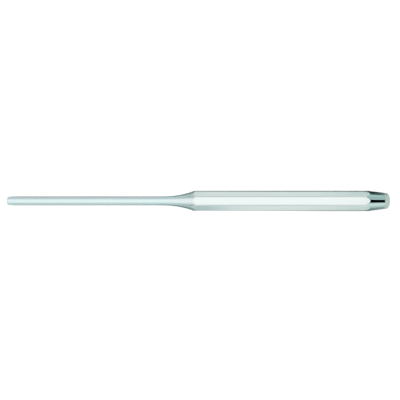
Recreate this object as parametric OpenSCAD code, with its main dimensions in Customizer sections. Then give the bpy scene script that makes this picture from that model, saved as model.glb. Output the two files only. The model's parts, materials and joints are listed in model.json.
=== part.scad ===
// Pin punch: a parallel pin pressed into an octagonal shank, lying on one of its flats.
// Millimetres. The tool lies along X with its tip towards -X and its head towards +X.
// The origin is under the middle of the tool, on the surface that it lies on.

/* [Pin] */
// Diameter of the pin
pin_d = 5; // [4:0.1:6.5]
// Free length of the pin, from its tip to its shoulder
pin_len = 86; // [40:1:120]
// Chamfer around the flat tip
tip_chamfer = 0.6; // [0.2:0.1:1]

/* [Seat of the pin] */
// Radial step from the pin down to its spigot
shoulder_step = 0.75; // [0.4:0.05:1]
// Length of the spigot that is pressed into the shank
spigot_len = 20; // [8:1:30]
// Chamfer that leads the spigot into its seat
spigot_chamfer = 0.5; // [0.2:0.1:0.8]
// Radial clearance around the spigot, nought for a press fit
seat_clearance = 0; // [0:0.005:0.05]
// Depth of the seat beyond the end of the spigot
seat_relief = 0.5; // [0:0.1:2]

/* [Grip] */
// Distance across the flats of the octagonal bar
across_flats = 11; // [9:0.5:16]
// Length of the octagon's full corners, from the flare to the head
grip_len = 93; // [60:0.5:140]
// Depth taken off the octagon's sharp corners
corner_ease = 0.15; // [0.05:0.01:0.2]
// Radius of the hollow flare between the pin and the grip
flare_r = 48; // [20:1:90]

/* [Head] */
// Angle of the chamfer that cuts the octagon's end into scallops
chamfer_angle = 9; // [8:1:30]
// Depth of the foot of the chamfer below the flats
chamfer_depth = 0.2; // [0.1:0.05:0.6]
// Length of the turned taper
taper_len = 8; // [4:0.5:16]
// Angle of the taper to the axis
taper_angle = 6.3; // [2:0.1:8]
// Rounding between the taper and the crown
edge_r = 2.2; // [0.8:0.1:2.4]
// Radius of the crowned striking end
crown_r = 8; // [7:0.5:30]

/* [Hidden] */
$fn = 96;

sides = 8;
half_side_angle = 180 / sides;
// Point angle of the drill that makes the seat
drill_point_angle = 118;
// Length of bar that is turned away past each end
bar_spare = 5;
// Slight angle at which the head's rounding meets the taper and the crown
blend_angle = 8;

pin_r = pin_d / 2;
spigot_r = pin_r - shoulder_step;
seat_r = spigot_r + seat_clearance;
seat_depth = spigot_len + seat_relief;
drill_point_len = seat_r / tan(drill_point_angle / 2);

flat_r = across_flats / 2;
corner_r = flat_r / cos(half_side_angle);
land_r = corner_r - corner_ease;

// Places along the axis, from the tip
flare_start = pin_len;
flare_len = sqrt(pow(flare_r, 2) - pow(flare_r - (land_r - pin_r), 2));
chamfer_start = flare_start + flare_len + grip_len;
neck_r = flat_r - chamfer_depth;
neck_at = chamfer_start + (land_r - neck_r) / tan(chamfer_angle);
head_r = neck_r - taper_len * tan(taper_angle);
head_at = neck_at + taper_len;

// The rounding's circle stands just proud of the taper and of the crown, which trim it.
// Heights are from the head's edge.
edge_seat_r = edge_r * cos(blend_angle);
edge_centre_r = head_r - edge_seat_r * cos(taper_angle);
edge_centre_h = -edge_seat_r * sin(taper_angle);
crown_edge_angle = asin(edge_centre_r / (crown_r - edge_seat_r));
crown_edge_r = crown_r * sin(crown_edge_angle);
crown_centre_h = edge_centre_h - (crown_r - edge_seat_r) * cos(crown_edge_angle);
overall_len = head_at + crown_centre_h + crown_r;

// Lays down what is drawn upright from the tip
module along_tool() {
    translate([-overall_len / 2, 0, flat_r])
        rotate([0, 90, 0])
            children();
}

// Half outline of the pin and its spigot
module pin_outline() {
    polygon([
        [0, 0],
        [pin_r - tip_chamfer, 0],
        [pin_r, tip_chamfer],
        [pin_r, pin_len],
        [spigot_r, pin_len],
        [spigot_r, pin_len + spigot_len - spigot_chamfer],
        [spigot_r - spigot_chamfer, pin_len + spigot_len],
        [0, pin_len + spigot_len]
    ]);
}

// Half outline of the blank from its nose to its neck, hollowed by the flare
module blank_outline() {
    difference() {
        polygon([
            [0, flare_start],
            [land_r, flare_start],
            [land_r, chamfer_start],
            [neck_r, neck_at],
            [0, neck_at]
        ]);
        translate([pin_r + flare_r, flare_start])
            circle(r = flare_r);
    }
}

// Half outline of the taper, carried on past the crown
module taper_outline() {
    polygon([
        [0, -taper_len],
        [neck_r, -taper_len],
        [neck_r - (taper_len + crown_r) * tan(taper_angle), crown_r],
        [0, crown_r]
    ]);
}

// Everything below the head's edge
module below_edge() {
    translate([0, -taper_len])
        square([neck_r, taper_len]);
}

// Half outline that rounds the edge between the taper and the crown
module edge_outline() {
    below_edge();
    translate([edge_centre_r, edge_centre_h])
        circle(r = edge_r);
    square([crown_edge_r, crown_r]);
}

// Half outline that crowns the striking end
module crown_outline() {
    below_edge();
    translate([0, crown_centre_h])
        circle(r = crown_r);
}

// Half outline of the head from its neck to its striking end
module head_outline() {
    intersection() {
        taper_outline();
        edge_outline();
        crown_outline();
    }
}

// Octagonal bar with one flat downwards, longer than the finished tool
module bar() {
    translate([0, 0, -bar_spare])
        rotate([0, 0, half_side_angle])
            cylinder(r = corner_r, h = overall_len + 2 * bar_spare, $fn = sides);
}

// What the lathe leaves of the bar, from the nose to the crown
module turned_blank() {
    rotate_extrude()
        blank_outline();
    translate([0, 0, head_at])
        rotate_extrude()
            head_outline();
}

// Drilled blind seat of the spigot
module seat() {
    translate([0, 0, pin_len])
        cylinder(r = seat_r, h = seat_depth);
    translate([0, 0, pin_len + seat_depth])
        cylinder(r1 = seat_r, r2 = 0, h = drill_point_len);
}

// Parallel pin with its chamfered tip and its spigot
module pin() {
    color([0.76, 0.84, 0.84])
        along_tool()
            rotate_extrude()
                pin_outline();
}

// Octagonal shank with its flared nose and its striking head
module shank() {
    color([0.8, 0.87, 0.87])
        along_tool()
            difference() {
                intersection() {
                    turned_blank();
                    bar();
                }
                seat();
            }
}

pin();
shank();
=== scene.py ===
"""Pin punch: the looks of its pin and its octagonal shank, lying on a pale floor."""
import json
import math

import bpy
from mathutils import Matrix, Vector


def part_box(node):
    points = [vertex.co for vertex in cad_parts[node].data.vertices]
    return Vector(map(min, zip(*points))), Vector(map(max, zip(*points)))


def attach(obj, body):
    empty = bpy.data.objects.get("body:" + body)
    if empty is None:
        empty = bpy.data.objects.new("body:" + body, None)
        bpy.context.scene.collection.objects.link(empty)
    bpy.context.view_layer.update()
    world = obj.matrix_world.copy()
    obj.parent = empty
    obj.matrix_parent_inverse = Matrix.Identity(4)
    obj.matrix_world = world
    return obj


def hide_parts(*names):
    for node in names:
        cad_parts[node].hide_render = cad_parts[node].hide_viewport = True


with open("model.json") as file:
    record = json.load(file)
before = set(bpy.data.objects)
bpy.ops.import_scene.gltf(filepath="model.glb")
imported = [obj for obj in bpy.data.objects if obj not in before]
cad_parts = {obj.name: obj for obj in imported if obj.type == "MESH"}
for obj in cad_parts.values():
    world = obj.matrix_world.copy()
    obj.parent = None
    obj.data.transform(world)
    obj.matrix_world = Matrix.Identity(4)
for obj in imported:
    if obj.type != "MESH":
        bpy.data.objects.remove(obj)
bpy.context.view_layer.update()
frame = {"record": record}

MM = 0.001

# Sizes from the frame
mounts = {mount["name"]: mount for mount in frame["record"]["mounts"]}
pin_low, pin_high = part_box("pin")
shank_low, shank_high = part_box("shank")
PIN_R = mounts["pin_shaft"]["dims"]["r_mm"] * MM
AXIS_Z = mounts["pin_shaft"]["pos_m"][2]
FLAT_R = shank_high.z - AXIS_Z
TIP_X = pin_low.x
NOSE_X = shank_low.x
SPIGOT_X = pin_high.x
CROWN_X = shank_high.x

# Pin and its seat
TIP_CHAMFER = 0.6 * MM
TIP_EASE = 0.3 * MM
SHOULDER_STEP = 0.75 * MM
SHOULDER_EASE = 0.04 * MM
SPIGOT_CHAMFER = 0.5 * MM
SEAT_RELIEF = 0.5 * MM
DRILL_POINT = math.radians(118)

# Octagonal grip and its flare
SIDES = 8
CORNER_ROUND = 1.8 * MM
FLARE_R = 48 * MM
# How far the flats' finish runs over onto the flare, how many times steeper than the flare it
# ends there, and how far onto the flats that eases out
FLARE_OVERRUN = 1.5 * MM
FLARE_BREAK = 1.4
FLARE_EASE = 0.15 * MM

# Head
CHAMFER_ANGLE = math.radians(9)
CHAMFER_DEPTH = 0.2 * MM
CHAMFER_EASE = 0.15 * MM
NECK_EASE = 0.2 * MM
TAPER_LEN = 8 * MM
TAPER_ANGLE = math.radians(6.3)
EDGE_R = 2.2 * MM
CROWN_R = 8 * MM
# How far before the head's edge the polish gives way to the dull ground end
POLISH_STOP = 1.1 * MM

# Steps round the tool: across a flat, across half a corner, across both halves and the flat, and
# round the pin
FLAT_STEPS = 12
CORNER_STEPS = 4
SIDE_STEPS = FLAT_STEPS + 2 * CORNER_STEPS
PIN_STEPS = 128
# Rows of faces along each form that has more than one
TIP_FACE_ROWS = 6
TIP_SLOPE_ROWS = 2
ROD_ROWS = 48
SPIGOT_ROWS = 8
SPIGOT_END_ROWS = 2
DRILL_POINT_ROWS = 2
SEAT_ROWS = 6
FLARE_ROWS = 40
FLARE_EASE_ROWS = 8
GRIP_ROWS = 30
CHAMFER_ROWS = 6
TAPER_ROWS = 12
TAPER_END_ROWS = 4
HEAD_EDGE_ROWS = 14
CROWN_ROWS = 16
EASE_ROWS = 4
# Points closer than this are one, and an edge that bends more than this looks sharp
MERGE_WITHIN = 0.001 * MM
SHARP_ANGLE = math.radians(35)

# Colours of the finishes, each with the shade that its tone goes down to
SATIN = (0.792, 0.87, 0.855)
SATIN_SHADE = (0.74, 0.815, 0.80)
# Colour of the grip's rubbed corners: partly wear, partly painted shade that darkens the corners
SATIN_WORN_AND_SHADED = (0.634, 0.702, 0.686)
PIN_SATIN = (0.682, 0.83, 0.835)
PIN_SHADE = (0.658, 0.80, 0.805)
TURNED = (0.695, 0.795, 0.805)
TURNED_SHADE = (0.665, 0.76, 0.77)
MIRROR = (0.435, 0.61, 0.60)
MIRROR_SHADE = (0.39, 0.56, 0.55)
GROUND = (0.585, 0.715, 0.67)
GROUND_SHADE = (0.49, 0.61, 0.57)

# Finishes: sizes of the lay in millimetres, size in millimetres and contrast of the handling marks,
# share of the lay's streaks in the tone, least roughness, what the lay's lines and the marks add
# to it, and depth of the relief
SATIN_FINISH = {
    "lay": {"length": 22.0, "width": 0.16, "breadth": 0.16},
    "marks": {"size": 16.0, "contrast": 1.6},
    "streak_share": 0.7,
    "roughness": 0.24,
    "rough_lines": 0.08,
    "rough_marks": 0.04,
    "relief": 0.0012 * MM,
}
ROUND_FINISH = {
    "lay": {"length": 0.2, "width": 6.0, "breadth": 6.0},
    "marks": {"size": 9.0, "contrast": 1.6},
    "streak_share": 0.35,
    "roughness": 0.22,
    "rough_lines": 0.04,
    "rough_marks": 0.05,
    "relief": 0.00012 * MM,
}
POLISHED_FINISH = {
    "lay": {"length": 7.0, "width": 0.35, "breadth": 0.35},
    "marks": {"size": 5.0, "contrast": 1.8},
    "streak_share": 0.8,
    "roughness": 0.012,
    "rough_lines": 0.016,
    "rough_marks": 0.016,
    "relief": 0.0004 * MM,
}
GROUND_FINISH = {
    "lay": {"length": 0.25, "width": 0.5, "breadth": 2.5},
    "marks": {"size": 2.5, "contrast": 2.2},
    "streak_share": 0.4,
    "roughness": 0.52,
    "rough_lines": 0.14,
    "rough_marks": 0.06,
    "relief": 0.012 * MM,
}
# Share of the lines in the relief of the ground ends, where the marks make the rest
GROUND_LINES = 0.5
# Length over which the pin's finish fades into the flare's
FINISH_FADE = 9 * MM
# Rubbed corners, darker partly through wear and partly through painted shade: width beside a corner,
# rubbing of the chamfer's edge, strength, size of the breaks in millimetres, and how much smoother the
# rubbed metal is
RUBBED_AND_SHADED_WIDTH = 0.5 * MM
CHAMFER_RUB_AND_SHADE = 0.8
RUB_AND_SHADE_STRENGTH = 0.9
RUB_AND_SHADE_SIZE = 4.0
RUB_POLISH = 0.18

# Detail and roughness of the noise in each effect, and the middle of a noise
LINES_NOISE = (3.0, 0.6)
STREAKS_NOISE = (2.0, 0.5)
MARKS_NOISE = (4.0, 0.55)
WEAR_AND_SHADE_NOISE = (3.0, 0.6)
MIDDLE = 0.5
# How closely the streaks lie, against the lines, along the tool and across it
STREAKS_ALONG = 0.3
STREAKS_ACROSS = 0.12
# How many times closer the marks and the breaks in the wear and painted shade lie across the tool than
# along it
MARKS_ACROSS = 1.6
WEAR_AND_SHADE_ACROSS = 3.0
# Least wear and painted shade of an edge, and what the noise adds to it
WEAR_AND_SHADE_LEAST = 0.55
WEAR_AND_SHADE_ADDED = 0.9


# Node trees

class Field:
    """A value in a node tree, which plain arithmetic can work with."""

    def __init__(self, tree, socket):
        self.tree = tree
        self.socket = socket

    def __add__(self, other):
        return calculate(self.tree, "ADD", self, other)

    def __radd__(self, other):
        return calculate(self.tree, "ADD", other, self)

    def __sub__(self, other):
        return calculate(self.tree, "SUBTRACT", self, other)

    def __rsub__(self, other):
        return calculate(self.tree, "SUBTRACT", other, self)

    def __mul__(self, other):
        return calculate(self.tree, "MULTIPLY", self, other)

    def __rmul__(self, other):
        return calculate(self.tree, "MULTIPLY", other, self)

    def __truediv__(self, other):
        return calculate(self.tree, "DIVIDE", self, other)

    def __pow__(self, other):
        return calculate(self.tree, "POWER", self, other)

    def does(self, operation, *others):
        return calculate(self.tree, operation, self, *others)


def feed(tree, value, socket):
    """Links a field or a socket to an input, or sets a plain value there."""
    if isinstance(value, Field):
        tree.links.new(value.socket, socket)
    elif isinstance(value, bpy.types.NodeSocket):
        tree.links.new(value, socket)
    else:
        socket.default_value = value


def calculate(tree, operation, *values):
    """One step of arithmetic with fields and plain numbers."""
    node = tree.nodes.new("ShaderNodeMath")
    node.operation = operation
    for socket, value in zip(node.inputs, values):
        feed(tree, value, socket)
    return Field(tree, node.outputs[0])


def clamped(value):
    """The field, kept between 0 and 1."""
    return value.does("MAXIMUM", 0.0).does("MINIMUM", 1.0)


def between(start, end, share):
    """A value that lies the given share of the way from start to end."""
    return start + (end - start) * share


def add_node(tree, kind, settings=None, **inputs):
    """A node with its settings, and with its inputs named in lower case with underscores."""
    node = tree.nodes.new(kind)
    for setting, value in (settings or {}).items():
        setattr(node, setting, value)
    for name, value in inputs.items():
        feed(tree, value, node.inputs[name.replace("_", " ").title()])
    return node


def combine(tree, x, y, z):
    """A vector of three fields or numbers."""
    return add_node(tree, "ShaderNodeCombineXYZ", x=x, y=y, z=z).outputs[0]


class Turned:
    """A Geometry Nodes tree that lays strips of faces round the tool's axis and joins them.

    A place is an X and a radius.
    """

    def __init__(self, name, sizes, columns, materials):
        self.tree = bpy.data.node_groups.new(name, "GeometryNodeTree")
        interface = self.tree.interface
        interface.new_socket("Geometry", in_out="OUTPUT", socket_type="NodeSocketGeometry")
        for size in sizes:
            interface.new_socket(size, in_out="INPUT", socket_type="NodeSocketFloat")
        given = self.tree.nodes.new("NodeGroupInput")
        self.size = {size: Field(self.tree, given.outputs[size]) for size in sizes}
        self.columns = columns
        self.materials = materials
        self.strips = []
        place = self.tree.nodes.new("GeometryNodeInputPosition")
        parts = add_node(self.tree, "ShaderNodeSeparateXYZ", vector=place.outputs[0])
        # A strip starts as a grid one unit long and wide, centred on the origin.
        self.along = Field(self.tree, parts.outputs["X"]) + 0.5
        self.around = Field(self.tree, parts.outputs["Y"]) + 0.5
        self.angle = self.around * math.tau

    def strip(self, rows, place, material=None, edge=0.0):
        """Faces whose place follows the strip. They get the first material unless one is named."""
        x, radius = place
        tree = self.tree
        grid = add_node(
            tree, "GeometryNodeMeshGrid",
            size_x=1.0, size_y=1.0, vertices_x=rows + 1, vertices_y=self.columns + 1,
        )
        edged = add_node(
            tree, "GeometryNodeStoreNamedAttribute", {"data_type": "FLOAT"},
            geometry=grid.outputs["Mesh"], name="edge", value=edge,
        )
        finish = 0 if material is None else self.materials.index(material)
        finished = add_node(
            tree, "GeometryNodeStoreNamedAttribute", {"data_type": "INT", "domain": "FACE"},
            geometry=edged.outputs["Geometry"], name="finish", value=finish,
        )
        y = radius * self.angle.does("SINE")
        z = self.size["Axis height"] + radius * self.angle.does("COSINE")
        put = add_node(
            tree, "GeometryNodeSetPosition",
            geometry=finished.outputs["Geometry"], position=combine(tree, x, y, z),
        )
        self.strips.append(put.outputs["Geometry"])

    def line(self, start, end):
        """A straight run between two places on the outline."""
        return tuple(between(a, b, self.along) for a, b in zip(start, end))

    def ease(self, start, corner, end):
        """A small curve that eases the corner between two runs."""
        first = (1.0 - self.along) ** 2.0
        middle = 2.0 * self.along * (1.0 - self.along)
        last = self.along ** 2.0
        return tuple(first * a + middle * b + last * c for a, b, c in zip(start, corner, end))

    def arc(self, centre, radius, first_angle, last_angle):
        """Part of a circle. Its angle is nought at the widest place and grows towards the head."""
        angle = between(first_angle, last_angle, self.along)
        x = centre[0] + radius * angle.does("SINE")
        return x, centre[1] + radius * angle.does("COSINE")

    def close(self):
        """Joins the strips, creases the sharp edges and gives each finish its material."""
        tree = self.tree
        joined = tree.nodes.new("GeometryNodeJoinGeometry")
        for strip in reversed(self.strips):
            tree.links.new(strip, joined.inputs[0])
        merged = add_node(
            tree, "GeometryNodeMergeByDistance",
            geometry=joined.outputs[0], distance=MERGE_WITHIN,
        )
        smooth = add_node(tree, "GeometryNodeSetShadeSmooth", geometry=merged.outputs[0])
        bend = tree.nodes.new("GeometryNodeInputMeshEdgeAngle")
        sharp = Field(tree, bend.outputs["Unsigned Angle"]).does("GREATER_THAN", SHARP_ANGLE)
        creased = add_node(
            tree, "GeometryNodeSetShadeSmooth", {"domain": "EDGE"},
            geometry=smooth.outputs[0], selection=sharp, shade_smooth=False,
        )
        last = add_node(tree, "GeometryNodeRealizeInstances", geometry=creased.outputs[0])
        kept = add_node(tree, "GeometryNodeInputNamedAttribute", {"data_type": "INT"}, name="finish")
        finish = Field(tree, kept.outputs["Attribute"])
        for number, material in enumerate(self.materials):
            # Finishes are whole numbers, so one within half a step is the same.
            chosen = finish.does("COMPARE", number, 0.5)
            last = add_node(
                tree, "GeometryNodeSetMaterial",
                geometry=last.outputs[0], selection=chosen, material=material,
            )
        out = tree.nodes.new("NodeGroupOutput")
        tree.links.new(last.outputs[0], out.inputs["Geometry"])
        return tree


def make_piece(name, tree, sizes):
    """Runs a tree at the given sizes and keeps its result as a plain mesh."""
    piece = bpy.data.objects.new(name, bpy.data.meshes.new(name))
    bpy.context.scene.collection.objects.link(piece)
    modifier = piece.modifiers.new("Turned", "NODES")
    modifier.node_group = tree
    for item in tree.interface.items_tree:
        if item.in_out == "INPUT":
            modifier[item.identifier] = sizes[item.name]
    graph = bpy.context.evaluated_depsgraph_get()
    mesh = bpy.data.meshes.new_from_object(piece.evaluated_get(graph))
    piece.modifiers.remove(modifier)
    piece.data = mesh
    mesh.name = name
    # A grid comes with an empty first slot, which no face uses here.
    mesh.materials.pop(index=0)
    return piece


# Shader groups

def new_group(name, inputs, outputs):
    """A shader node group with named number inputs and outputs."""
    group = bpy.data.node_groups.new(name, "ShaderNodeTree")
    for title in inputs:
        group.interface.new_socket(title, in_out="INPUT", socket_type="NodeSocketFloat")
    for title in outputs:
        group.interface.new_socket(title, in_out="OUTPUT", socket_type="NodeSocketFloat")
    given = group.nodes.new("NodeGroupInput")
    out = group.nodes.new("NodeGroupOutput")
    return group, {title: Field(group, given.outputs[title]) for title in inputs}, out


def noise(tree, place, detail, roughness):
    """Noise between 0 and 1, about one unit of the place in size."""
    texture = add_node(
        tree, "ShaderNodeTexNoise",
        vector=place, scale=1.0, detail=detail, roughness=roughness,
    )
    return Field(tree, texture.outputs[0])


def object_place(tree):
    """X, Y and Z on the piece, in millimetres."""
    coordinates = tree.nodes.new("ShaderNodeTexCoord")
    parts = add_node(tree, "ShaderNodeSeparateXYZ", vector=coordinates.outputs["Object"])
    return [Field(tree, socket) / MM for socket in parts.outputs]


def scattered(tree, size, across):
    """A place on the piece, counted in sizes along the tool and closer across it."""
    x, y, z = object_place(tree)
    return combine(tree, x / size, y / size * across, z / size * across)


def make_lay_group():
    """Lines that a grinding belt or wheel leaves, long one way and fine the other."""
    group, given, out = new_group("Grinding lay", ["Length", "Width", "Breadth"], ["Lines", "Streaks"])
    x, y, z = object_place(group)
    along = x / given["Length"]
    across = y / given["Width"]
    upward = z / given["Breadth"]
    fine = combine(group, along, across, upward)
    wide = combine(group, along * STREAKS_ALONG, across * STREAKS_ACROSS, upward * STREAKS_ACROSS)
    feed(group, noise(group, fine, *LINES_NOISE), out.inputs["Lines"])
    feed(group, noise(group, wide, *STREAKS_NOISE), out.inputs["Streaks"])
    return group


def make_handling_group():
    """Soft uneven patches, such as fingers and oil leave."""
    group, given, out = new_group("Handling", ["Size", "Contrast"], ["Smudge"])
    cloud = noise(group, scattered(group, given["Size"], MARKS_ACROSS), *MARKS_NOISE)
    feed(group, clamped((cloud - MIDDLE) * given["Contrast"] + MIDDLE), out.inputs["Smudge"])
    return group


def make_edge_wear_and_shade_group():
    """How much an edge wears and darkens with painted shade, broken up along its length."""
    group, given, out = new_group("Edge wear", ["Amount", "Size"], ["Wear"])
    edge = add_node(group, "ShaderNodeAttribute", {"attribute_name": "edge"})
    near = Field(group, edge.outputs["Fac"])
    breaks = noise(group, scattered(group, given["Size"], WEAR_AND_SHADE_ACROSS), *WEAR_AND_SHADE_NOISE)
    broken = WEAR_AND_SHADE_LEAST + WEAR_AND_SHADE_ADDED * breaks
    feed(group, clamped(near * broken * given["Amount"]), out.inputs["Wear"])
    return group


LAY = make_lay_group()
HANDLING = make_handling_group()
EDGE_WEAR_AND_SHADE = make_edge_wear_and_shade_group()


# Materials

def place_group(tree, group, **inputs):
    """A group placed in a material with its own values. Gives its outputs by name."""
    node = add_node(tree, "ShaderNodeGroup", {"node_tree": group}, **inputs)
    return {socket.name: Field(tree, socket) for socket in node.outputs}


def mix_colour(tree, share, first, second):
    """A colour that goes from the first to the second as the share grows."""
    node = add_node(tree, "ShaderNodeMix", {"data_type": "RGBA"})
    colours = [socket for socket in node.inputs if socket.type == "RGBA"]
    feed(tree, share, node.inputs[0])
    for socket, colour in zip(colours, (first, second)):
        feed(tree, colour if isinstance(colour, bpy.types.NodeSocket) else (*colour, 1.0), socket)
    return [socket for socket in node.outputs if socket.type == "RGBA"][0]


class Metal:
    """A metallic material with the lay, the handling marks and the roughness of its finish."""

    def __init__(self, name, finish):
        self.material = bpy.data.materials.new(name)
        self.material.use_nodes = True
        self.tree = self.material.node_tree
        self.shader = self.tree.nodes["Principled BSDF"]
        self.shader.inputs["Metallic"].default_value = 1.0
        lay = place_group(self.tree, LAY, **finish["lay"])
        self.lines = lay["Lines"]
        self.streaks = lay["Streaks"]
        self.smudge = place_group(self.tree, HANDLING, **finish["marks"])["Smudge"]
        share = finish["streak_share"]
        self.tone = clamped(self.streaks * share + self.smudge * (1.0 - share))
        self.rough = finish["roughness"] + finish["rough_lines"] * self.lines
        self.rough = self.rough + finish["rough_marks"] * self.smudge
        self.relief = finish["relief"]

    def toned(self, shade, colour):
        """A colour that its tone takes down to a shade."""
        return mix_colour(self.tree, self.tone, shade, colour)

    def complete(self, colour, height):
        """Feeds the shader with a colour, the roughness and fine relief from a height."""
        feed(self.tree, colour, self.shader.inputs["Base Color"])
        feed(self.tree, self.rough, self.shader.inputs["Roughness"])
        bump = add_node(
            self.tree, "ShaderNodeBump",
            height=height, distance=self.relief, strength=1.0,
        )
        feed(self.tree, bump.outputs[0], self.shader.inputs["Normal"])
        return self.material


def make_satin_chrome():
    """Belt-ground chrome of the grip, with its lay along the tool and its corners rubbed: smoother,
    and darker partly through wear and partly through painted shade.
    """
    metal = Metal("Satin chrome", SATIN_FINISH)
    # The rubbed corners get a smoother finish and a darker colour, partly wear and partly painted
    # shade
    worn_and_shaded = place_group(metal.tree, EDGE_WEAR_AND_SHADE, amount=RUB_AND_SHADE_STRENGTH, size=RUB_AND_SHADE_SIZE)["Wear"]
    metal.rough = metal.rough - RUB_POLISH * worn_and_shaded
    plain = metal.toned(SATIN_SHADE, SATIN)
    return metal.complete(mix_colour(metal.tree, worn_and_shaded, plain, SATIN_WORN_AND_SHADED), metal.lines)


def make_pin_chrome():
    """Centreless-ground chrome of the pin, with its lay round the tool."""
    metal = Metal("Ground chrome", ROUND_FINISH)
    return metal.complete(metal.toned(PIN_SHADE, PIN_SATIN), metal.lines)


def make_turned_chrome():
    """Turned chrome of the flare, with its lay round the tool. It starts as the pin's does."""
    metal = Metal("Turned chrome", ROUND_FINISH)
    at_pin = metal.toned(PIN_SHADE, PIN_SATIN)
    at_grip = metal.toned(TURNED_SHADE, TURNED)
    x = object_place(metal.tree)[0]
    faded = clamped((x - NOSE_X / MM) / (FINISH_FADE / MM))
    return metal.complete(mix_colour(metal.tree, faded, at_pin, at_grip), metal.lines)


def make_polished_chrome():
    """Bright buffed chrome of the chamfer and the taper."""
    metal = Metal("Polished chrome", POLISHED_FINISH)
    return metal.complete(metal.toned(MIRROR_SHADE, MIRROR), metal.streaks)


def make_ground_steel():
    """Dull ground metal of the striking end and of the tip's face."""
    metal = Metal("Ground steel", GROUND_FINISH)
    height = metal.lines * GROUND_LINES + metal.smudge * (1.0 - GROUND_LINES)
    return metal.complete(metal.toned(GROUND_SHADE, GROUND), height)


SATIN_CHROME = make_satin_chrome()
PIN_CHROME = make_pin_chrome()
TURNED_CHROME = make_turned_chrome()
POLISHED_CHROME = make_polished_chrome()
GROUND_STEEL = make_ground_steel()


# Pin

def make_pin():
    """The parallel pin with its chamfered tip, its shoulder and the spigot behind it."""
    sizes = {
        "Axis height": AXIS_Z,
        "Tip": TIP_X,
        "Shoulder": NOSE_X,
        "End": SPIGOT_X,
        "Radius": PIN_R,
        "Tip chamfer": TIP_CHAMFER,
        "Tip ease": TIP_EASE,
        "Shoulder ease": SHOULDER_EASE,
        "Spigot radius": PIN_R - SHOULDER_STEP,
        "Spigot chamfer": SPIGOT_CHAMFER,
    }
    rod = Turned("Pin rod", sizes, PIN_STEPS, [PIN_CHROME, GROUND_STEEL])
    size = rod.size
    tip = size["Tip"]
    full = size["Radius"]
    tip_ease = size["Tip ease"]
    # The tip's chamfer slants at 45 degrees.
    slant = tip_ease * math.sqrt(0.5)
    face_corner = (tip, full - size["Tip chamfer"])
    face_end = (tip, face_corner[1] - tip_ease)
    slope_start = (tip + slant, face_corner[1] + slant)
    side_corner = (tip + size["Tip chamfer"], full)
    slope_end = (side_corner[0] - slant, full - slant)
    side_start = (side_corner[0] + tip_ease, full)
    shoulder = size["Shoulder"]
    side_end = (shoulder - size["Shoulder ease"], full)
    shoulder_start = (shoulder, full - size["Shoulder ease"])
    spigot_start = (shoulder, size["Spigot radius"])
    end = size["End"]
    lead_start = (end - size["Spigot chamfer"], spigot_start[1])
    lead_end = (end, spigot_start[1] - size["Spigot chamfer"])
    rod.strip(TIP_FACE_ROWS, rod.line((tip, 0.0), face_end), GROUND_STEEL)
    rod.strip(EASE_ROWS, rod.ease(face_end, face_corner, slope_start))
    rod.strip(TIP_SLOPE_ROWS, rod.line(slope_start, slope_end))
    rod.strip(EASE_ROWS, rod.ease(slope_end, side_corner, side_start))
    rod.strip(ROD_ROWS, rod.line(side_start, side_end))
    rod.strip(1, rod.line(side_end, shoulder_start))
    rod.strip(1, rod.line(shoulder_start, spigot_start))
    rod.strip(SPIGOT_ROWS, rod.line(spigot_start, lead_start))
    rod.strip(1, rod.line(lead_start, lead_end))
    rod.strip(SPIGOT_END_ROWS, rod.line(lead_end, (end, 0.0)))
    return make_piece("pin_rod", rod.close(), sizes)


# Shank

def shank_sizes():
    """Sizes of the shank, with its head worked out back from the crown."""
    neck_r = FLAT_R - CHAMFER_DEPTH
    head_r = neck_r - TAPER_LEN * math.tan(TAPER_ANGLE)
    edge_centre_r = head_r - EDGE_R * math.cos(TAPER_ANGLE)
    crown_edge_angle = math.acos(edge_centre_r / (CROWN_R - EDGE_R))
    crown_centre = CROWN_X - CROWN_R
    edge_centre = crown_centre + (CROWN_R - EDGE_R) * math.sin(crown_edge_angle)
    head_x = edge_centre + EDGE_R * math.sin(TAPER_ANGLE)
    seat_r = PIN_R - SHOULDER_STEP
    return {
        "Axis height": AXIS_Z,
        "Nose": NOSE_X,
        "Pin radius": PIN_R,
        "Seat radius": seat_r,
        "Seat end": SPIGOT_X + SEAT_RELIEF,
        "Drill point": seat_r / math.tan(DRILL_POINT / 2),
        "Flat radius": FLAT_R,
        "Corner rounding": CORNER_ROUND,
        "Rubbed width": RUBBED_AND_SHADED_WIDTH,
        "Flare radius": FLARE_R,
        "Flare overrun": FLARE_OVERRUN,
        "Flare break": FLARE_BREAK,
        "Flare ease": FLARE_EASE,
        "Chamfer slope": math.tan(CHAMFER_ANGLE),
        "Chamfer ease": CHAMFER_EASE,
        "Neck": head_x - TAPER_LEN,
        "Neck radius": neck_r,
        "Neck ease": NECK_EASE,
        "Taper slope": math.tan(TAPER_ANGLE),
        "Polish stop": head_x - POLISH_STOP,
        "Head": head_x,
        "Edge centre": edge_centre,
        "Edge centre radius": edge_centre_r,
        "Edge rounding": EDGE_R,
        "Taper turn": TAPER_ANGLE,
        "Crown turn": crown_edge_angle,
        "Crown centre": crown_centre,
        "Crown radius": CROWN_R,
    }


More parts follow.
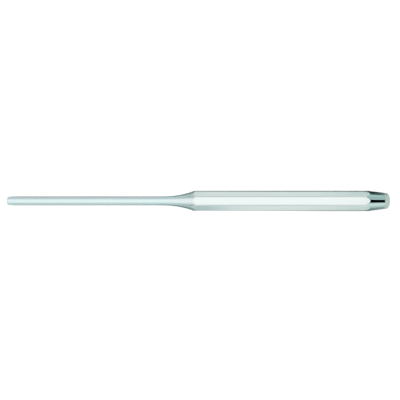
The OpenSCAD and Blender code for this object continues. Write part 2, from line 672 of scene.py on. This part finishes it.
def set_octagon(bar):
    """Sets the angle of each column. Gives the octagon's radius there and the nearness of a corner."""
    half_side = math.pi / SIDES
    flat = bar.size["Flat radius"]
    rounding = bar.size["Corner rounding"]
    corner_share = CORNER_STEPS / SIDE_STEPS
    flat_share = FLAT_STEPS / SIDE_STEPS
    # From the middle of a flat to where its corner starts to round. Columns are spread evenly over
    # each of the two.
    reach = ((flat - rounding) / flat * math.tan(half_side)).does("ARCTANGENT")
    turn = bar.around * SIDES
    share = turn.does("FRACT")
    first = clamped(share / corner_share)
    middle = clamped((share - corner_share) / flat_share)
    last = clamped((share - 1 + corner_share) / corner_share)
    local = (first + last - 1.0) * (half_side - reach) + (middle * 2.0 - 1.0) * reach
    bar.angle = turn.does("FLOOR") * (2 * half_side) + local
    away = local.does("ABSOLUTE")
    on_flat = flat / local.does("COSINE")
    to_centre = (flat - rounding) / math.cos(half_side)
    from_corner = half_side - away
    across = to_centre * from_corner.does("SINE")
    depth = (rounding * rounding - across * across).does("MAXIMUM", 0.0).does("SQRT")
    on_corner = to_centre * from_corner.does("COSINE") + depth
    radius = between(on_flat, on_corner, away.does("GREATER_THAN", reach))
    gap = flat * (math.tan(half_side) - away.does("TANGENT"))
    near = clamped(1.0 - gap / bar.size["Rubbed width"])
    return radius, near


def lay_seat(bar):
    """The drilled blind seat of the spigot, and the nose's face round it."""
    size = bar.size
    drill_tip = (size["Seat end"] + size["Drill point"], 0.0)
    seat_end = (size["Seat end"], size["Seat radius"])
    seat_start = (size["Nose"], size["Seat radius"])
    bar.strip(DRILL_POINT_ROWS, bar.line(drill_tip, seat_end))
    bar.strip(SEAT_ROWS, bar.line(seat_end, seat_start))
    bar.strip(1, bar.line(seat_start, (size["Nose"], size["Pin radius"])))


def lay_flare(bar, side):
    """The hollow flare and the end of the flats on it. Gives the place where the grip starts."""
    size = bar.size
    nose = size["Nose"]
    sweep = size["Flare radius"]

    def flare_at(x):
        run = x - nose
        return size["Pin radius"] + sweep - (sweep * sweep - run * run).does("SQRT")

    rise = sweep - (size["Flat radius"] - size["Pin radius"])
    flare_run = (sweep * sweep - rise * rise).does("SQRT") - size["Flare overrun"]
    flare_stop = (nose + flare_run, flare_at(nose + flare_run))
    x = between(nose, flare_stop[0], bar.along)
    bar.strip(FLARE_ROWS, (x, flare_at(x)), TURNED_CHROME)
    steepness = flare_run / (sweep * sweep - flare_run * flare_run).does("SQRT")
    flare_end = (flare_stop[0] + (side - flare_stop[1]) / (steepness * size["Flare break"]), side)
    grip_start = (flare_end[0] + size["Flare ease"], side)
    bar.strip(FLARE_EASE_ROWS, bar.ease(flare_stop, flare_end, grip_start))
    return grip_start


def lay_grip(bar, grip_start, side, near):
    """The flats, and the chamfer that cuts their ends into scallops. Gives the chamfer's end."""
    size = bar.size
    slope = size["Chamfer slope"]
    ease = size["Chamfer ease"]
    grip_end = (size["Neck"] - (side - size["Neck radius"]) / slope, side)
    grip_stop = (grip_end[0] - ease, side)
    chamfer_start = (grip_end[0] + ease, side - ease * slope)
    neck_ease = size["Neck ease"]
    chamfer_end = (size["Neck"] - neck_ease, size["Neck radius"] + neck_ease * slope)
    bar.strip(GRIP_ROWS, bar.line(grip_start, grip_stop), edge=near)
    rounded = bar.ease(grip_stop, grip_end, chamfer_start)
    bar.strip(EASE_ROWS, rounded, POLISHED_CHROME, edge=CHAMFER_RUB_AND_SHADE)
    bar.strip(CHAMFER_ROWS, bar.line(chamfer_start, chamfer_end), POLISHED_CHROME)
    return chamfer_end


def lay_head(bar, chamfer_end):
    """The neck, the polished taper with its dull end, the rounded edge and the crown."""
    size = bar.size
    neck = (size["Neck"], size["Neck radius"])
    taper = size["Taper slope"]
    taper_start = (neck[0] + size["Neck ease"], neck[1] - size["Neck ease"] * taper)
    edge_centre = (size["Edge centre"], size["Edge centre radius"])
    edge_r = size["Edge rounding"]
    taper_turn = size["Taper turn"]
    crown_turn = size["Crown turn"]
    head = (size["Head"], edge_centre[1] + edge_r * taper_turn.does("COSINE"))
    polish_stop = (size["Polish stop"], head[1] + (head[0] - size["Polish stop"]) * taper)
    bar.strip(EASE_ROWS, bar.ease(chamfer_end, neck, taper_start), POLISHED_CHROME)
    bar.strip(TAPER_ROWS, bar.line(taper_start, polish_stop), POLISHED_CHROME)
    bar.strip(TAPER_END_ROWS, bar.line(polish_stop, head), GROUND_STEEL)
    bar.strip(HEAD_EDGE_ROWS, bar.arc(edge_centre, edge_r, taper_turn, crown_turn), GROUND_STEEL)
    crown_centre = (size["Crown centre"], 0.0)
    crown = bar.arc(crown_centre, size["Crown radius"], crown_turn, math.pi / 2)
    bar.strip(CROWN_ROWS, crown, GROUND_STEEL)


def make_shank():
    """The octagonal bar with its flared nose, its seat for the pin and its striking head."""
    sizes = shank_sizes()
    materials = [SATIN_CHROME, POLISHED_CHROME, GROUND_STEEL, TURNED_CHROME]
    bar = Turned("Octagonal shank", sizes, SIDES * SIDE_STEPS, materials)
    side, near = set_octagon(bar)
    lay_seat(bar)
    grip_start = lay_flare(bar, side)
    chamfer_end = lay_grip(bar, grip_start, side, near)
    lay_head(bar, chamfer_end)
    return make_piece("shank_bar", bar.close(), sizes)


pin_rod = make_pin()
shank_bar = make_shank()
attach(pin_rod, "root")
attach(shank_bar, "root")
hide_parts("pin")
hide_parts("shank")


# Studio

FLOOR_SIZE = 8.0
FLOOR_DROP = 0.02 * MM
FLOOR_COLOUR = (0.65, 0.65, 0.65)
FLOOR_GLOW = 0.6

# Colour of the tent by how far its wall lies to the side, from straight above to level
TENT_COLOURS = {
    0.0: (1.155, 1.13, 1.13),
    0.3: (1.145, 1.12, 1.12),
    0.5: (1.1, 1.08, 1.08),
    0.62: (0.98, 0.98, 0.98),
    0.75: (0.81, 0.81, 0.81),
    0.85: (0.735, 0.72, 0.72),
    0.93: (0.655, 0.715, 0.715),
    0.985: (0.69, 0.815, 0.815),
    1.0: (0.74, 0.875, 0.875),
}
# Colour of the tent's corners towards the tip, its share there, and where that starts and ends
CORNER_COLOUR = (0.12, 0.3, 0.29)
CORNER_SHARE = 0.6
CORNER_START = 0.2
CORNER_END = 0.42
# How much dimmer the tent's two ends are, and how far along they start
END_DIMMING = 0.5
END_START = 0.7
# Heights between which the tent pales to white at the horizon
HORIZON_LOW = 0.03
HORIZON_HIGH = 0.1
HORIZON_COLOUR = (1.0, 1.0, 1.0)

# Shade on the floor beside the tool: reach to the side in millimetres, and levels along the tool,
# where a level is a colour if its tint isn't the usual one
FLOOR_SHADES = {
    "far_close": (1.5, 14, {
        -107: 1.1, -102: (0.44, 0.41, 0.41), -25: (0.42, 0.4, 0.4), -15: (0.26, 0.37, 0.36),
        -5: (0.17, 0.25, 0.24), 0: 0.2, 40: 0.04, 90: 0.02, 98: 0.05, 101.5: 0.17, 104: 0.4,
        110: 0.8,
    }),
    "far_wide": (14, 40, {
        -120: 1.1, -105: (0.48, 0.45, 0.45), -35: (0.46, 0.44, 0.44), -22: (0.34, 0.45, 0.44),
        -8: (0.24, 0.36, 0.35), 0: 0.3, 40: 0.1, 88: 0.05, 102: 0.07, 105.5: 0.18, 108: 0.42,
        114: 0.8,
    }),
    "far_outer": (40, 300, {
        -160: 0.75, -20: 0.75, 0: 0.86, 60: 1.0, 80: (0.96, 0.98, 0.98), 102: (0.4, 0.61, 0.6),
        140: (0.2, 0.42, 0.41), 200: 0.6,
    }),
    "near_close": (-14, -1.5, {
        -107: 1.1, -102: (0.71, 0.65, 0.65), -25: (0.66, 0.6, 0.6), -15: (0.19, 0.3, 0.29),
        -4: (0.19, 0.3, 0.29), -1: 0.9, 18: 0.9, 42: 0.8, 76: 0.12, 92: 0.06, 98: 0.3,
        106: 0.8,
    }),
    "near_wide": (-40, -14, {
        -120: 1.1, -105: (0.66, 0.6, 0.6), -40: (0.6, 0.54, 0.54), -24: (0.38, 0.5, 0.49),
        -12: (0.23, 0.35, 0.34), -6: (0.33, 0.45, 0.44), -1: 0.75, 16: 0.75, 32: 0.65, 70: 0.4,
        100: 0.4, 112: 0.7,
    }),
    "near_outer": (-300, -40, {
        -160: 0.75, -20: 0.6, -6: 0.15, 10: 0.15, 22: 0.85, 60: 0.9, 80: (0.88, 0.9, 0.89),
        100: (0.4, 0.57, 0.52), 140: (0.3, 0.5, 0.45), 200: 0.7,
    }),
}
SHADE_LIFT = 0.3 * MM
# Small upright cards of painted shade beside the tool, which only the metal mirrors: place to the side
# and height in millimetres, and levels along the tool
FAR_SHADE_CARD = (40, 13, {104: 0.06, 108: 0.11, 110.5: 0.18, 113: 0.42, 116: 0.7, 124: 0.9})
NEAR_SHADE_CARD = (-60, 20, {-20: 0.85, -9: 0.65, 5: 0.65, 16: 0.85})
# The deeper a shade, the greener it is: what black would lose of its red, green and blue, and the
# power by which that grows with the depth. The near card of painted shade has its own.
SHADE_TINT = (0.6, 0.0, 0.12)
SHADE_TINT_POWER = 5
NEAR_SHADE_CARD_TINT = (0.6, 0.0, 0.0)
NEAR_SHADE_CARD_TINT_POWER = 1

# Cards overhead that the polished taper mirrors: height, how far before the crown the slopes to
# their corners start, and each card's colour with those slopes along and across the tool
CARD_HEIGHT = 0.1
SLOPES_BEFORE_CROWN = 6 * MM
OVERHEAD_CARDS = {
    "stripe": ((0.0, 0.004, 0.003), [(0.27, -0.39), (0.47, -0.4), (0.47, 0.3), (0.27, 0.24)]),
    "gleam": ((1.4, 1.2, 1.17), [(0.3, -1.4), (0.8, -1.4), (0.8, -0.78), (0.3, -0.78)]),
    "gleam_low": ((1.15, 1.05, 1.02), [(0.3, -4.5), (2.0, -4.5), (1.0, -1.4), (0.3, -1.4)]),
    "dim": ((0.74, 0.78, 0.78), [(0.3, 0.36), (0.8, 0.36), (0.8, 1.2), (0.3, 1.2)]),
    "dim_low": ((0.86, 0.92, 0.9), [(0.3, 1.3), (1.0, 1.3), (2.2, 5.0), (0.3, 5.0)]),
}

# Soft lamp on the near side: distance, slant from straight above, size and power
KEY_AT = 0.7
KEY_WAY = math.radians(47)
KEY_LENGTH = 0.9
KEY_WIDTH = 0.24
KEY_POWER = 0.08

# Camera, and where the tool's ends and its axis lie in the picture
CAMERA_LENS = 100.0
CAMERA_SENSOR = 36.0
FRAME_PIXELS = 400
TOOL_LEFT_PIXEL = 6.95
TOOL_RIGHT_PIXEL = 390.2
TOOL_AXIS_PIXEL = 200.93


def make_sheet(name, corners, material):
    """A flat four-cornered sheet of the studio."""
    mesh = bpy.data.meshes.new(name)
    mesh.from_pydata(corners, [], [(0, 1, 2, 3)])
    mesh.materials.append(material)
    sheet = bpy.data.objects.new(name, mesh)
    bpy.context.scene.collection.objects.link(sheet)
    return sheet


def level_corners(left, right, near, far, height):
    """Corners of a level sheet."""
    return [(left, near, height), (right, near, height), (right, far, height), (left, far, height)]


def bare_material(name):
    """A material with nothing in it but its output."""
    material = bpy.data.materials.new(name)
    material.use_nodes = True
    tree = material.node_tree
    tree.nodes.clear()
    return material, tree, tree.nodes.new("ShaderNodeOutputMaterial")


def make_floor():
    """Pale paper that glows enough to look white, and still takes the tool's shadow."""
    material, tree, out = bare_material("Floor paper")
    paper = add_node(tree, "ShaderNodeBsdfDiffuse", color=(*FLOOR_COLOUR, 1.0))
    path = tree.nodes.new("ShaderNodeLightPath")
    seen = Field(tree, path.outputs["Is Camera Ray"])
    seen = seen.does("MAXIMUM", Field(tree, path.outputs["Is Glossy Ray"]))
    seen = seen.does("MAXIMUM", Field(tree, path.outputs["Is Transmission Ray"]))
    glow = add_node(tree, "ShaderNodeEmission", strength=seen * FLOOR_GLOW)
    both = tree.nodes.new("ShaderNodeAddShader")
    tree.links.new(paper.outputs[0], both.inputs[0])
    tree.links.new(glow.outputs[0], both.inputs[1])
    tree.links.new(both.outputs[0], out.inputs["Surface"])
    half = FLOOR_SIZE / 2
    make_sheet("floor", level_corners(-half, half, -half, half, -FLOOR_DROP), material)


def tinted(levels, tint, power):
    """Colours of the levels, with a tint that grows in the dark."""
    colours = {}
    for place, level in levels.items():
        if isinstance(level, tuple):
            colours[place] = level
        else:
            depth = max(1.0 - level, 0.0) ** power
            colours[place] = tuple(level * (1.0 - loss * depth) for loss in tint)
    return colours


def colour_ramp(tree, place, colours):
    """Colours by place, changing evenly from each to the next."""
    first = min(colours)
    reach = max(colours) - first
    ramp = add_node(tree, "ShaderNodeValToRGB", fac=(place - first) / reach)
    points = ramp.color_ramp.elements
    # New points wait in the middle until all of them get their places.
    while len(points) < len(colours):
        points.new(0.5)
    for point, (at, colour) in zip(points, colours.items()):
        point.position = (at - first) / reach
        point.color = (*colour, 1.0)
    return ramp.outputs["Color"]


def make_card(name, corners, colour=None, colours=None):
    """A card that only the metal mirrors. The camera, the floor and the shadows don't see it."""
    material, tree, out = bare_material(name)
    card = add_node(tree, "ShaderNodeEmission", strength=1.0)
    if colours:
        x = object_place(tree)[0]
        feed(tree, colour_ramp(tree, x, colours), card.inputs["Color"])
    else:
        feed(tree, (*colour, 1.0), card.inputs["Color"])
    tree.links.new(card.outputs[0], out.inputs["Surface"])
    sheet = make_sheet(name, corners, material)
    sheet.visible_camera = False
    sheet.visible_diffuse = False
    sheet.visible_shadow = False
    sheet.visible_transmission = False


def make_upright_shade(name, side, height, colours):
    """An upright card of painted shade that stands on the floor beside the tool."""
    ends = (min(colours) * MM, max(colours) * MM)
    foot = [(end, side * MM, 0.0) for end in ends]
    head = [(end, side * MM, height * MM) for end in reversed(ends)]
    make_card(name, foot + head, colours=colours)


def make_cards():
    """The shades on the floor, the two upright cards of painted shade and the cards overhead."""
    for name, (near, far, levels) in FLOOR_SHADES.items():
        corners = level_corners(min(levels) * MM, max(levels) * MM, near * MM, far * MM, SHADE_LIFT)
        make_card("shade_" + name, corners, colours=tinted(levels, SHADE_TINT, SHADE_TINT_POWER))
    # Upright cards of painted shade, which only the metal mirrors
    side, height, levels = FAR_SHADE_CARD
    make_upright_shade("wall_far", side, height, tinted(levels, SHADE_TINT, SHADE_TINT_POWER))
    side, height, levels = NEAR_SHADE_CARD
    make_upright_shade("wall_near", side, height, tinted(levels, NEAR_SHADE_CARD_TINT, NEAR_SHADE_CARD_TINT_POWER))
    start = CROWN_X - SLOPES_BEFORE_CROWN
    for name, (colour, slopes) in OVERHEAD_CARDS.items():
        corners = [
            (start + CARD_HEIGHT * along, CARD_HEIGHT * across, CARD_HEIGHT)
            for along, across in slopes
        ]
        make_card("card_" + name, corners, colour)


def make_world():
    """A pale studio tent, brightest overhead."""
    world = bpy.data.worlds.new("Studio tent")
    bpy.context.scene.world = world
    world.use_nodes = True
    tree = world.node_tree
    tree.nodes.clear()
    out = tree.nodes.new("ShaderNodeOutputWorld")
    way = tree.nodes.new("ShaderNodeTexCoord")
    parts = add_node(tree, "ShaderNodeSeparateXYZ", vector=way.outputs["Generated"])
    x, y, height = [Field(tree, socket) for socket in parts.outputs]
    sideways = y.does("ABSOLUTE")
    tipward = -1.0 * x
    corner = clamped((tipward * sideways - CORNER_START) / (CORNER_END - CORNER_START))
    end = clamped((x.does("ABSOLUTE") - END_START) / (1.0 - END_START))
    raised = clamped((height - HORIZON_LOW) / (HORIZON_HIGH - HORIZON_LOW))
    light = add_node(tree, "ShaderNodeBackground", strength=1.0 - END_DIMMING * end * raised)
    tent = colour_ramp(tree, sideways, TENT_COLOURS)
    tent = mix_colour(tree, corner * CORNER_SHARE, tent, CORNER_COLOUR)
    feed(tree, mix_colour(tree, raised, HORIZON_COLOUR, tent), light.inputs["Color"])
    tree.links.new(light.outputs[0], out.inputs["Surface"])


def make_key():
    """A long soft lamp over the near side of the tool."""
    data = bpy.data.lights.new("Key", "AREA")
    data.shape = "RECTANGLE"
    data.size = KEY_LENGTH
    data.size_y = KEY_WIDTH
    data.energy = KEY_POWER
    lamp = bpy.data.objects.new("Key", data)
    bpy.context.scene.collection.objects.link(lamp)
    lamp.location = (0.0, -KEY_AT * math.sin(KEY_WAY), AXIS_Z + KEY_AT * math.cos(KEY_WAY))
    lamp.rotation_euler = (KEY_WAY, 0.0, 0.0)


def make_camera():
    """Straight above the tool, framed as the photograph is."""
    length = CROWN_X - TIP_X
    pixel = length / (TOOL_RIGHT_PIXEL - TOOL_LEFT_PIXEL)
    middle = (TOOL_LEFT_PIXEL + TOOL_RIGHT_PIXEL) / 2
    view_width = FRAME_PIXELS * pixel
    distance = view_width * CAMERA_LENS / CAMERA_SENSOR
    data = bpy.data.cameras.new("Camera")
    data.lens = CAMERA_LENS
    data.sensor_width = CAMERA_SENSOR
    camera = bpy.data.objects.new("Camera", data)
    bpy.context.scene.collection.objects.link(camera)
    camera.location.x = (TIP_X + CROWN_X) / 2 + (FRAME_PIXELS / 2 - middle) * pixel
    camera.location.y = (TOOL_AXIS_PIXEL - FRAME_PIXELS / 2) * pixel
    camera.location.z = AXIS_Z + distance
    bpy.context.scene.camera = camera


make_floor()
make_cards()
make_world()
make_key()
make_camera()
bpy.context.scene.view_settings.view_transform = "Standard"
